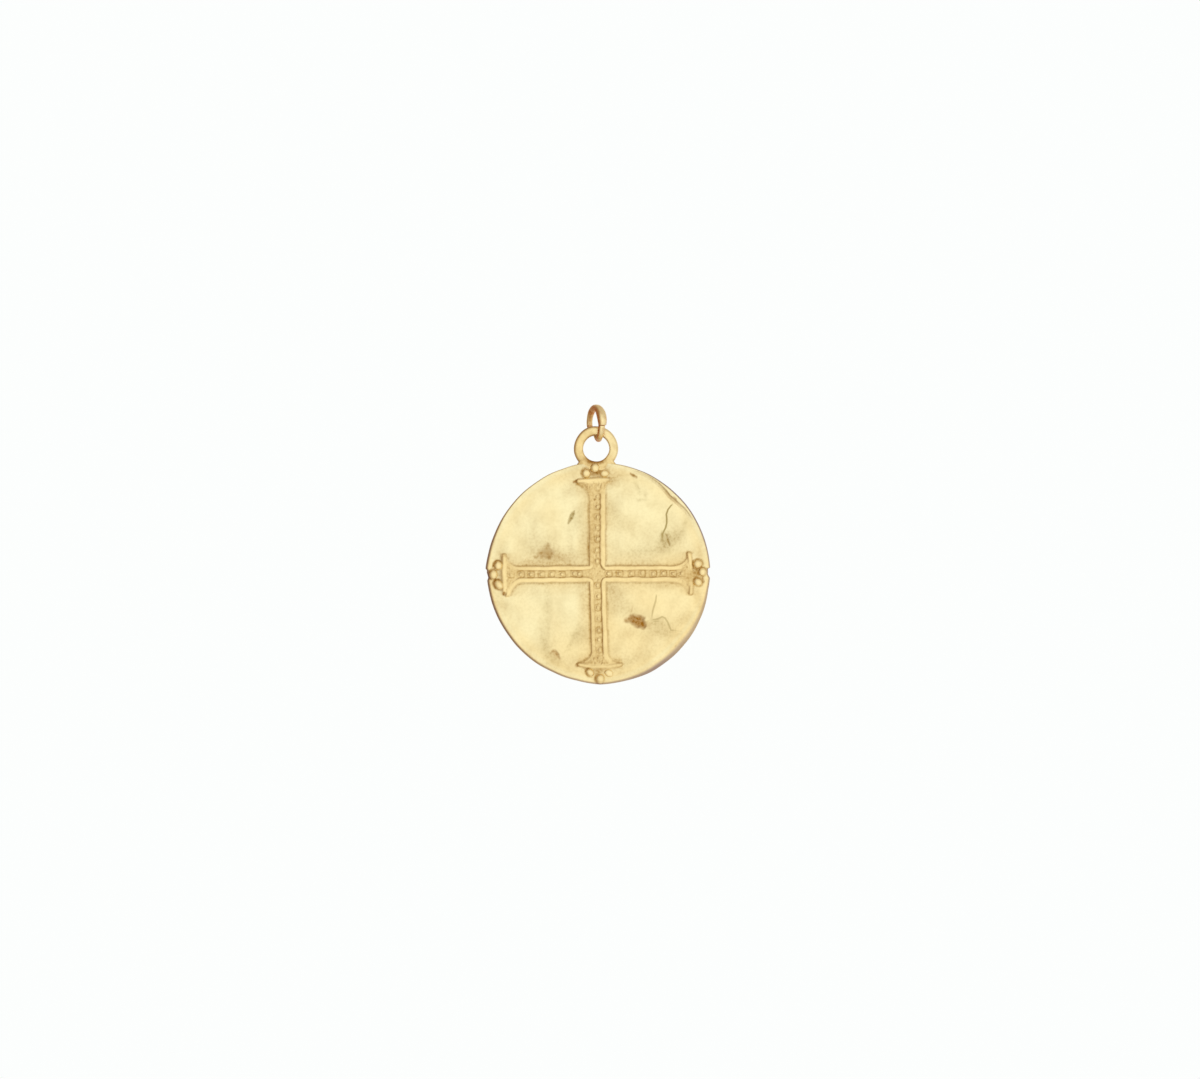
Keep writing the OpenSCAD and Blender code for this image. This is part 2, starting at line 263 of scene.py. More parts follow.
# Cracks in the face: width, how dark, and the run of points from the disc's middle
CRACKS = (
    (0.20, 0.85, (
        (9.62, 8.55), (9.23, 8.21), (8.88, 7.76), (8.67, 7.17), (8.71, 6.67), (8.70, 6.07),
        (8.54, 5.47), (8.28, 4.97), (8.08, 4.40), (8.16, 3.60))),
    (0.22, 0.44, (
        (7.28, -2.75), (7.22, -3.30), (7.14, -3.75), (6.94, -4.35), (6.76, -4.95), (6.66, -5.60),
        (6.62, -6.15))),
    (0.22, 0.46, (
        (6.50, -6.02), (6.95, -6.02), (7.40, -5.92), (7.95, -5.68), (8.30, -5.86), (8.62, -6.35),
        (8.85, -6.95), (9.02, -7.38), (9.50, -7.42), (10.40, -7.58))),
    (0.14, 0.30, (
        (6.75, -6.30), (7.20, -6.22), (7.75, -6.20))),
)

# The rim at a few angles: how far it stands out past the true circle, the width and drop of its bevel, how
# dark the painted shade on it is, and how warm the gold beside it is, a painted reflection of the bevel
RIM_ANGLE, RIM_OUT, RIM_WIDE, RIM_DROP, RIM_DARK, RIM_WARM = range(6)
RIM = np.array([
    [0, 0.06, 0.26, 0.34, 0.62, 0.5],
    [20, 0.00, 0.27, 0.34, 0.84, 0.0],
    [32, -0.02, 0.24, 0.32, 0.92, 0.0],
    [45, -0.09, 0.22, 0.30, 0.92, 0.0],
    [62, -0.12, 0.19, 0.26, 0.76, 0.0],
    [76, -0.17, 0.14, 0.18, 0.25, 0.0],
    [90, -0.20, 0.12, 0.14, 0.00, 0.3],
    [106, -0.22, 0.12, 0.14, 0.00, 0.0],
    [128, -0.24, 0.16, 0.20, 0.25, 0.0],
    [146, -0.17, 0.24, 0.28, 0.36, 0.0],
    [160, -0.09, 0.38, 0.42, 0.66, 0.5],
    [170, 0.02, 0.42, 0.44, 0.72, 0.7],
    [179, 0.16, 0.42, 0.44, 0.72, 1.0],
    [182, -0.03, 0.42, 0.44, 0.72, 1.0],
    [200, -0.16, 0.44, 0.44, 0.72, 0.8],
    [215, -0.23, 0.44, 0.42, 0.60, 0.5],
    [235, -0.22, 0.44, 0.40, 0.46, 0.2],
    [246, -0.23, 0.40, 0.40, 0.55, 0.1],
    [258, -0.15, 0.36, 0.38, 0.55, 0.1],
    [270, 0.06, 0.34, 0.38, 0.55, 0.2],
    [284, 0.04, 0.48, 0.42, 0.60, 0.1],
    [300, 0.16, 0.88, 0.56, 0.78, 0.0],
    [320, 0.12, 1.05, 0.54, 0.52, 0.2],
    [338, 0.08, 0.66, 0.46, 0.42, 0.5],
    [350, -0.02, 0.40, 0.38, 0.52, 0.6],
])

# The folded lip at the upper right by angle: its width, and how dark the groove inside it is
LIP_ANGLE, LIP_WIDE, LIP_DARK = range(3)
LIP = np.array([
    [24, 0.30, 0.00],
    [30, 0.46, 0.55],
    [36, 0.54, 0.64],
    [42, 0.72, 0.95],
    [46, 0.78, 1.00],
    [50, 0.56, 0.76],
    [55, 0.38, 0.56],
    [62, 0.27, 0.50],
    [69, 0.24, 0.40],
    [73, 0.20, 0.00],
])

# The jump ring's wire, by the angle from its foremost point over its top: its thickness as a share of the
# full wire's, and how far it is bent upwards and to the right
RING_TURN, RING_THICK, RING_LIFT, RING_ASIDE = range(4)
RING_WIRE = np.array([
    [-7, 1.08, 0.00, 0.00],
    [10, 1.30, 0.00, 0.01],
    [28, 1.32, 0.00, 0.01],
    [45, 1.24, 0.00, 0.01],
    [65, 1.06, 0.00, 0.01],
    [90, 0.94, 0.01, 0.00],
    [135, 0.86, 0.00, 0.00],
    [180, 0.80, 0.00, 0.02],
    [205, 0.74, 0.12, 0.10],
    [225, 0.72, 0.45, 0.26],
    [240, 0.70, 0.58, 0.34],
    [250, 0.68, 0.20, 0.38],
    [262, 0.68, 0.02, 0.36],
    [275, 0.70, 0.00, 0.28],
    [300, 0.80, 0.00, 0.03],
    [330, 0.92, 0.00, -0.08],
    [353, 0.92, 0.00, -0.08],
])


def to_linear(red, green, blue):
    """The linear colour for a colour as a screen shows it, in steps of 255."""
    return tuple(((c / 255 + 0.055) / 1.055) ** 2.4 for c in (red, green, blue))


def length_property(name, description, length):
    return FloatProperty(name=name, description=description, default=length * MM, unit="LENGTH")


def angle_property(name, description, degrees):
    return FloatProperty(name=name, description=description, default=math.radians(degrees), unit="ROTATION")


class PendantSizes(bpy.types.PropertyGroup):
    """The sizes of the medallion, its loop and its jump ring."""

    disc_radius: length_property("Disc radius", "From the disc's middle to its rim", 14)
    cross_up: length_property("Cross height", "Height of the cross's middle above the disc's", -0.15)
    cross_across: length_property(
        "Cross offset", "How far to the right of the disc's middle the cross's middle lies", -0.115)
    arm_half: length_property("Arm half-width", "From the middle of an arm to the top of its ridge", 0.715)
    corner_radius: length_property("Corner radius", "Radius of the bends where two arms meet", 0.34)
    cell_half: length_property("Cell half-width", "Half the width of the square cell round each bead", 0.42)
    bead_radius: length_property("Bead radius", "Radius of the beads between the ridges", 0.27)
    loop_radius: length_property("Loop radius", "From the loop's middle to the middle of its band", 2.1875)
    loop_band: length_property("Loop band", "Thickness of the loop's band", 1.125)
    wire_radius: length_property("Wire radius", "Radius of the jump ring's wire", 0.45)
    ring_yaw: angle_property("Ring turn", "Turn of the jump ring about the vertical, from edge on", 24)
    ring_cut: angle_property("Ring cut", "Angle of the jump ring's cut, from its foremost point upwards", -7)


def colour_property(name, description, colour):
    return FloatVectorProperty(
        name=name, description=description, default=to_linear(*colour), subtype="COLOR", size=3, min=0, max=1)


class PendantColours(bpy.types.PropertyGroup):
    """The colours of the pendant's metal, of what lies on it and of the shade painted on it."""

    gold: colour_property("Pale gold", "The bright worn field of the disc", (254, 241, 190))
    warm_gold: colour_property("Warm gold", "The ridges, bars and pellets", (255, 231, 168))
    olive: colour_property("Olive", "Dull shade in the soft hollows and the cracks", (164, 142, 80))
    # Tan dirt with painted shade: in the grooves, round the pellets, bars and cells, on the loop and the ring
    grime: colour_property("Grime", "Old tan dirt in the grooves beside the ridges", (186, 144, 72))
    # Brown also paints shadow in the pellets' seats, on the lower wall of the loop's hole, round the head's
    # pellets
    brown: colour_property("Brown", "The corroded strike marks", (168, 113, 28))
    # The rim's dark edge and the disc's wall are painted shade
    edge: colour_property("Edge", "The darkened rim", (152, 129, 134))
    ring_gold: colour_property("Ring gold", "The jump ring's rubbed wire", (255, 236, 180))
    # Most of the jump ring's brown is painted shade and dark painted reflections
    ring_brown: colour_property("Ring brown", "The jump ring's inside and top", (204, 122, 40))


def smooth(start, end, x):
    """0 before start and 1 after end, with a cubic ease between them."""
    t = np.clip((x - start) / (end - start), 0, 1)
    return t * t * (3 - 2 * t)


def bell(x, width):
    """1 at x = 0, falling off to both sides as the exponential of minus the square of x over width."""
    return np.exp(-np.square(x / width))


def waves(x, y, length, seed):
    """Between about -1 and 1: the sum of nine plane waves of about that length, over 3.6, with directions,
    phases and lengths drawn from the seed."""
    draw = np.random.RandomState(seed)
    turns, phases = draw.rand(2, 9) * 2 * np.pi
    total = np.zeros_like(x)
    for turn, phase, stretch in zip(turns, phases, 0.7 + 0.6 * draw.rand(9)):
        total += np.sin((x * np.cos(turn) + y * np.sin(turn)) * 2 * np.pi / (length * stretch) + phase)
    return total / 3.6


def from_segment(x, y, x0, y0, x1, y1):
    """The distance from a straight segment, and how far along it the nearest point lies, from 0 to 1."""
    dx, dy = x1 - x0, y1 - y0
    t = np.clip(((x - x0) * dx + (y - y0) * dy) / (dx * dx + dy * dy), 0, 1)
    return np.hypot(x - x0 - t * dx, y - y0 - t * dy), t


def turned(dx, dy, degrees):
    """A step's part along a direction, and its part across it."""
    turn = np.radians(degrees)
    return dx * np.cos(turn) + dy * np.sin(turn), dy * np.cos(turn) - dx * np.sin(turn)


def signed_power(value, power):
    """The power of a value's size, with the value's sign, which makes a superellipse of a circle."""
    return np.sign(value) * np.abs(value) ** power


def full_turn(count):
    """Angles in equal steps, once round."""
    return np.linspace(0, 2 * np.pi, count, endpoint=False)


def as_points(x, y, z):
    """One list of points from coordinates that are numbers or arrays of fitting shapes."""
    return np.stack(np.broadcast_arrays(x, y, z), axis=-1).reshape(-1, 3)


def by_angle(angle, column):
    """A column of the rim's table at any angle, in degrees, in straight lines from row to row."""
    return np.interp(angle, RIM[:, RIM_ANGLE], RIM[:, column], period=360)


def outline(angle):
    """The disc's radius by angle: the rim's table, fine waves, and a notch past the end of each side arm
    that falls steeply from its upper edge and rises slowly to its lower one."""
    turn = np.radians(angle)
    disc = size("disc_radius")
    radius = disc + by_angle(angle, RIM_OUT) + 0.02 * waves(np.cos(turn) * disc, np.sin(turn) * disc, 4.0, 11)
    up = radius * np.sin(turn)
    right, left = np.cos(turn) > 0.9, np.cos(turn) < -0.9
    notch = np.where(up > -0.1, 1 - smooth(0.22, 0.42, up), smooth(-1.0, -0.35, up))
    step = np.where(up > 0.0, 1 - smooth(0.45, 0.75, up), smooth(-0.9, -0.3, up))
    return radius - 0.28 * notch * right - 0.20 * step * left


def size(name):
    """One of the sizes in millimetres."""
    return getattr(bpy.context.scene.pendant_sizes, name) / MM


def cross_lines(x, y):
    """For each point: the arm and the edge of it that it belongs to, the distance along and across that
    arm, and the signed distance from the nearest ridge's top line, positive outside the cross. That line
    is straight, with a quarter circle where two arms meet and a quarter of an ellipse as a flare."""
    u = x - size("cross_across") + 0.035 * waves(x, y, 2.8, 1)
    v = y - size("cross_up") + 0.035 * waves(x, y, 2.6, 2)
    arm = np.where(np.abs(u) >= np.abs(v), np.where(u > 0, RIGHT, LEFT), np.where(v > 0, HEAD, FOOT))
    along, across = turned(u, v, 90 * arm)
    across = across - ARMS[arm, LEAN] * along
    edge = 2 * arm + (across > 0)
    aside = np.abs(across)
    half, corner = size("arm_half"), size("corner_radius")
    inner = half + corner
    side = aside - half
    side = np.where(along < inner, corner - np.hypot(along - inner, aside - inner), side)
    long, wide = EDGES[edge, FLARE_LONG], EDGES[edge, FLARE_WIDE]
    dx, dy = along - (ARMS[arm, BAR_AT] - EDGES[edge, FLARE_ENDS] - long), aside - half - wide
    reach = np.hypot(dx / long, dy / wide)
    spread = np.hypot(dx, dy) * (1 / np.maximum(reach, 0.02) - 1)
    spread = np.where(dy < 0, spread, np.hypot(long - dx, dy))
    return arm, edge, along, across, np.where(dx > 0, spread, side)


def nearest_bead(arm, along):
    """The number of the nearest bead on the same arm, and the signed distance from it along the arm."""
    between = (BEADS[:, 1:] + BEADS[:, :-1]) / 2
    number = (along[:, None] > between[arm]).sum(axis=1)
    return number, along - BEADS[arm, number]


def cross_relief(x, y):
    """Height and finishes of the cross: ridges and bars, each (1 - d^a)^b high over the distance d from
    its middle line, and between the ridges a low floor with a row of cells and a round bead in each. The
    cells are square on the side arms and rounder on the others. Towards the bar the floor rises to a
    web. The dark lines along the feet of the ridges, round the bars and round each cell are painted
    shade, darkest along the left edges of the head and the foot, and the floor is darkened too."""
    arm, edge, along, across, side = cross_lines(x, y)
    far = smooth(0.8, 1.5, along)[:, None]
    worn_edge = (AT_CORNER + (EDGES[edge, FLARE_STANDS:] - AT_CORNER) * far).T
    stands, ridge_high, outer_wide, inner_wide, outer_dark, inner_dark = worn_edge
    upright = (arm == HEAD) | (arm == FOOT)
    bar_at = ARMS[arm, BAR_AT] + ARMS[arm, BAR_TILT] * across - ARMS[arm, BAR_BOW] * np.square(across / 2.8)
    before_bar = 1 - smooth(bar_at - 0.30, bar_at - 0.10, along)
    web = smooth(ARMS[arm, BAR_AT] - 2.1, ARMS[arm, BAR_AT] - 0.8, along)
    within = smooth(3.00, 2.60, np.abs(across))
    kept = ridge_high * (1 - web * (1 - stands)) * within
    inside = smooth(0.14 + 0.14 * web, -0.10 - 0.14 * web, side) * before_bar * within
    off_ridge = np.clip(np.abs(side) / np.where(side > 0, outer_wide + 0.03, inner_wide), 0, 1)
    top = (1 - off_ridge ** 3.4) ** 0.85 * before_bar * within
    grain = waves(x, y, 0.55, 61) * waves(x, y, 0.8, 62)
    floor = (0.04 + 0.10 * web + (0.03 + 0.022 * web) * grain) * inside

    bar_from, bar_to = ARMS[arm, BAR_FROM], ARMS[arm, BAR_TO]
    middle, reach = (bar_from + bar_to) / 2, (bar_to - bar_from) / 2
    from_end = np.clip(np.abs(across - middle) / reach, 0, 1)
    blunt = np.where(across > middle, ARMS[arm, BLUNT_TO], ARMS[arm, BLUNT_FROM])
    bar_half = 0.34 * (1 - 0.70 * (1 - blunt) * from_end ** 4 + 0.16 * blunt * from_end ** 6)
    cap = 0.36
    past = np.maximum(np.abs(across - middle) - (reach - cap), 0)
    off_bar = np.hypot((along - bar_at) / bar_half, past / cap)
    worn = ARMS[arm, BAR_WORN] * bell(across + 0.4, 0.85)
    bar = ARMS[arm, BAR_HIGH] * (1 - np.clip(off_bar, 0, 1) ** 2.6) ** 0.6 * (1 - worn)
    off_it = 1 - smooth(1.25, 0.95, off_bar) * (1 - worn)

    number, from_bead = nearest_bead(arm, along)
    bead_r, cell_half = size("bead_radius"), size("cell_half")
    draw = np.random.RandomState(17).rand(4, 8)[arm, number]
    beaded = inside * (along > 0.9) * (1 - 0.6 * web)
    clear = beaded * (side < 0) * (0.55 + 0.45 * draw)
    square_off = (np.abs(from_bead / cell_half) ** 5 + np.abs(across / cell_half) ** 5) ** 0.2
    round_off = np.hypot(from_bead, across) / (bead_r + 0.13)
    off_cell = np.where(upright, 0.35 * square_off + 0.65 * round_off, square_off)
    cell = 1 - smooth(0.80, 1.10, off_cell)
    round_bead = np.hypot(from_bead, across + 0.06 * (draw - 0.5)) / bead_r
    bead = np.sqrt(np.clip(1 - round_bead ** 2, 0, 1)) * (0.65 + 0.35 * draw) * beaded
    patchy = np.clip(0.75 + 0.5 * waves(x, y, 1.3, 64), 0.35, 1.2)
    line = bell(off_cell - 0.98, 0.20) * clear * patchy * np.where(upright, 0.95, 1.05)

    relief = np.maximum(np.maximum(kept * top, bar), floor - 0.05 * cell * clear + 0.15 * bead)
    outer_foot = bell(side - outer_wide - 0.10, 0.07 + 0.07 * outer_dark) * before_bar * (along < bar_at)
    uneven = 0.85 + 0.3 * waves(x, y, 1.1, 63)
    outer_foot = outer_foot * within * (1 - 0.35 * web * (1 - outer_dark)) * uneven
    dashed = np.where(upright, 0.50 + 0.50 * bell(from_bead, 0.45), 0.8)
    inner_foot = bell(side + inner_wide, 0.06 + 0.03 * inner_dark) * before_bar * (1 - 0.8 * web) * dashed
    at_end = smooth(0.80, 0.97, from_end)
    end_dark = np.where(across > middle, ARMS[arm, END_TO], ARMS[arm, END_FROM])
    bar_foot = bell(off_bar - 1.12, 0.22) * (np.abs(across - middle) < reach + 0.4) * (1 - 0.7 * worn)
    relief = relief - 0.015 * outer_foot - 0.02 * inner_foot - 0.02 * bar_foot * (off_bar > 1) * at_end
    crossing = bell(np.maximum(along, np.abs(across)), 0.95)
    # How near the field is to the cross's outer edges, for the painted shade that face_at lays there
    beside = np.exp(-np.maximum(side - outer_wide, 0) / 0.8) * (side > outer_wide)
    beside = beside * (along < bar_at + 0.6) * smooth(2.95, 2.45, np.abs(across))
    return {
        "height": relief,
        "warm": np.clip(1.1 * np.maximum(top, np.clip(1.3 - off_bar, 0, 1)) + 0.9 * inside, 0, 1),
        "grime": (0.10 + 0.30 * outer_dark) * outer_foot + (0.06 + 0.30 * inner_dark) * inner_foot
        + (ARMS[arm, BAR_LINED] + end_dark * at_end) * bar_foot + 0.60 * line * (1 - bead)
        + 0.75 * np.clip(1 - ridge_high / 0.15, 0, 1) * far[:, 0] * top
        + (0.19 + 0.08 * web + 0.09 * crossing) * inside * (1 - top) * (1 - bead) * (1 + 0.8 * grain) * off_it
        + 0.30 * web * (1 - stands) * top * off_it,
        "olive": (0.06 + 0.26 * outer_dark) * outer_foot + 0.26 * inner_dark * inner_foot + 0.20 * line
        + 0.36 * end_dark * at_end * bar_foot + 0.04 * inside * (1 - top),
        "brown": ARMS[arm, FLOOR_RUSTY] * inside * (1 - top) * (1 - bead) * off_it,
        "beside": beside,
    }


def swells(x, y):
    """Height, olive and tan of the face's swells, hollows and patches, the olive painted shade and the tan
    dirt and painted shade: for each row of the table, a bell over the distance along and across its own
    direction."""
    total = np.zeros((3, len(x)))
    for row in SWELLS:
        along, across = turned(x - row[SWELL_X], y - row[SWELL_Y], row[SWELL_TURN])
        amount = bell(along, row[SWELL_LONG]) * bell(across, row[SWELL_SHORT])
        total += row[SWELL_UP:, None] * amount
    return total


def marks(x, y):
    """Depth, brown and olive of the marks: for each row of the table, the distance from a run whose
    half-width changes evenly from end to end, with a ragged, soft edge."""
    total = np.zeros((3, len(x)))
    ragged = 0.05 * waves(x, y, 0.8, 21) + 0.03 * waves(x, y, 0.45, 22)
    for row in MARKS:
        off, t = from_segment(x, y, row[MARK_X0], row[MARK_Y0], row[MARK_X1], row[MARK_Y1])
        past = off - (row[MARK_R0] + (row[MARK_R1] - row[MARK_R0]) * t) + ragged * min(1, row[MARK_R1] * 3)
        amount = 1 - smooth(-row[MARK_SOFT] / 2, row[MARK_SOFT], past)
        total = np.maximum(total, row[MARK_DEEP:, None] * amount)
    return total


def cracks(x, y):
    """For each point: the signed distance from the nearest crack over that crack's half-width, positive on
    its left, and how dark that crack is there, which fades out towards its ends."""
    nearest = np.full_like(x, 9.0)
    side, dark = np.full_like(x, 9.0), np.zeros_like(x)
    for width, strength, points in CRACKS:
        line = np.array(points)
        pieces = len(line) - 1
        for i in range(pieces):
            (x0, y0), (x1, y1) = line[i], line[i + 1]
            off, t = from_segment(x, y, x0, y0, x1, y1)
            left = np.sign((x1 - x0) * (y - y0) - (y1 - y0) * (x - x0))
            run = (i + t) / pieces
            half = width / 2 * (0.6 + 0.4 * np.sin(np.pi * np.clip(run * 0.86 + 0.10, 0, 1)))
            closer = off < nearest
            nearest = np.where(closer, off, nearest)
            side = np.where(closer, np.clip(left * off / half, -6, 6), side)
            past = np.hypot(x - line[0, 0], y - line[0, 1]) < off + 0.01 if i == 0 else False
            ends = smooth(0.0, 0.10, run) * (1 - 0.8 * smooth(0.72, 1.0, run)) * (1 - past)
            dark = np.where(closer, strength * ends, dark)
    return side, dark * (nearest < 0.45)


def pellet_distance(x, y, row):
    """The distance from a pellet's middle over its own half-width in that direction."""
    px, py, wide, longer, points = row[:OUTLINED]
    along, across = turned(x - px, y - py, points)
    return np.hypot(along / longer, across) / (wide / 2)


def pellet_seats(x, y):
    """How dark and how brown the painted shadow in the seat round each pellet is: a ring close to the
    pellet, darkest on one side."""
    dark, shadow_brown = np.zeros_like(x), np.zeros_like(x)
    for row in PELLETS:
        dx, dy = x - row[ACROSS], y - row[UP]
        off = pellet_distance(x, y, row)
        towards = turned(dx, dy, row[DARK_AT])[0] / np.maximum(np.hypot(dx, dy), 0.05)
        ring = row[OUTLINED] * bell(off - 1.12, 0.20 + 0.07 * row[SIDED] * towards)
        ring = ring * (1 - row[SIDED] * (0.5 - 0.5 * towards))
        dark = np.maximum(dark, ring)
        shadow_brown = np.maximum(shadow_brown, ring * row[SHADOW_BROWN])
    return dark, shadow_brown


def face_at(x, y):
    """The disc's front at any point: its height above the plain face, and how much of each finish lies
    there. The height is the cross's with the swells and the folded lip, less the marks, cracks and pellet
    seats, and less the bevel, a quarter of an ellipse."""
    angle = np.degrees(np.arctan2(y, x)) % 360
    in_from_rim = np.maximum(outline(angle) - np.hypot(x, y), 0)
    cross = cross_relief(x, y)
    swell, shade, tan = swells(x, y)
    depth, brown, mark_olive = marks(x, y)
    crack_side, crack = cracks(x, y)
    seat, shadow_brown = pellet_seats(x, y)
    clear_of_cross = 1 - np.clip(cross["warm"], 0, 1)

    lip_part = smooth(24, 34, angle) * (1 - smooth(68, 74, angle))
    lip_wide = np.interp(angle, LIP[:, LIP_ANGLE], LIP[:, LIP_WIDE])
    lip_dark = np.interp(angle, LIP[:, LIP_ANGLE], LIP[:, LIP_DARK]) * lip_part
    lip = (smooth(0.05, 0.18, in_from_rim) - smooth(lip_wide - 0.16, lip_wide - 0.02, in_from_rim)) * lip_part
    off_fold = in_from_rim - lip_wide - 0.03 * waves(x, y, 2.5, 7)
    fold = bell(off_fold, 0.05 + 0.07 * lip_dark) * lip_part
    fold_line = bell(off_fold - 0.22, 0.08) * lip_part

    wide, drop = by_angle(angle, RIM_WIDE), by_angle(angle, RIM_DROP)
    by_loop = bell(angle - 90, 9)
    wide = wide * (1 - 0.5 * by_loop)
    drop = drop * (1 - 0.6 * by_loop)
    rest = np.clip(1 - in_from_rim / wide, 0, 1)
    bevel = drop * (1 - np.sqrt(1 - rest ** 2))

    fade = smooth(0.2, 1.6, in_from_rim)
    uneven = 0.011 * waves(x, y, 2.3, 3) + 0.0045 * waves(x, y, 1.0, 4) + 0.0028 * waves(x, y, 0.5, 6)
    height = cross["height"] + (swell + uneven) * (0.35 + 0.65 * clear_of_cross) * fade
    height += 0.07 * lip - 0.04 * fold - bevel
    height -= depth + 0.03 * crack * bell(crack_side, 1.6) + 0.05 * seat
    at_rim = bell(in_from_rim - wide - 0.15, 0.30)
    rim_warm = by_angle(angle, RIM_WARM) * bell(in_from_rim - wide * 0.7, 0.45)
    # Painted shade on the field along the cross's outer edges, more in some quarters; it is warmer there too
    shade_by_quarter = np.where(y > 0, np.where(x > 0, 0.22, 0.30), np.where(x > 0, 0.16, 0.28))
    # The seat's ring is painted shadow round each pellet
    grime = cross["grime"] + 0.90 * seat + (0.24 * fold + 0.22 * fold_line) * lip_dark + tan
    grime = grime + shade_by_quarter * cross["beside"] + 0.07 * rim_warm
    olive = cross["olive"] + shade * (0.3 + 0.7 * clear_of_cross) + 0.46 * lip_dark * fold + 0.26 * seat
    # rim_warm paints a reflection on the bevel; at_rim pales the gold just inside it as a painted highlight
    warm = cross["warm"] + rim_warm + 0.25 * smooth(2.4, 0.9, in_from_rim) - 0.55 * at_rim + 0.10
    warm = warm + 0.35 * cross["beside"] + 0.45 * smooth(0, 14, x - 1.6 * y) + 0.11 * waves(x, y, 4.5, 9)
    brown = np.maximum(brown, 0.85 * shadow_brown) + cross["brown"] + 0.28 * lip_dark * (fold + fold_line)
    # The rim's dark edge is painted shade, by angle
    edge = smooth(0.14, 0.66, rest) * by_angle(angle, RIM_DARK)
    finishes = plain_finishes(len(x), warm=warm, olive=np.maximum(olive, mark_olive), grime=grime,
                              brown=brown, edge=edge)
    return height, {**finishes, "crack_side": crack_side, "crack": crack}


def spaced(*stretches):
    """Places from 0 outwards: for each (end, step), equal steps of about that size up to that end."""
    places, start = [np.zeros(1)], 0.0
    for end, step in stretches:
        count = max(1, round((end - start) / step))
        places.append(start + (end - start) * np.arange(1, count + 1) / count)
        start = end
    return np.concatenate(places)


def grid_quads(rows, columns, wrap):
    """Corner numbers of the quads of a grid, whose columns close on themselves if wrap is true."""
    row = np.arange(rows - 1)[:, None]
    column = np.arange(columns if wrap else columns - 1)[None, :]
    after = (column + 1) % columns
    here, beyond = row * columns, (row + 1) * columns
    corners = (here + column, here + after, beyond + after, beyond + column)
    return np.stack(np.broadcast_arrays(*corners), axis=-1).reshape(-1, 4)


def make_piece(name, points, faces, finishes, material):
    """Puts points in millimetres, faces and point attributes into a new smooth mesh, and links its
    object."""
    mesh = bpy.data.meshes.new(name)
    mesh.from_pydata((np.asarray(points) * MM).tolist(), [], faces)
    mesh.polygons.foreach_set("use_smooth", np.ones(len(mesh.polygons), bool))
    for key, values in finishes.items():
        layer = mesh.attributes.new(key, "FLOAT", "POINT")
        layer.data.foreach_set("value", np.asarray(values, np.float32).ravel())
    mesh.materials.append(material)
    mesh.validate()
    mesh.update()
    piece = bpy.data.objects.new(name, mesh)
    bpy.context.scene.collection.objects.link(piece)
    return piece


FINISHES = ("warm", "olive", "grime", "brown", "edge", "crack_side", "crack")


def plain_finishes(count, **given):
    """Every finish for a number of points: 0 all over, apart from the ones that are given."""
    finishes = {key: np.zeros(count) for key in FINISHES}
    for key, values in given.items():
        finishes[key] = np.clip(np.broadcast_to(np.ravel(values), count), 0, 1)
    return finishes


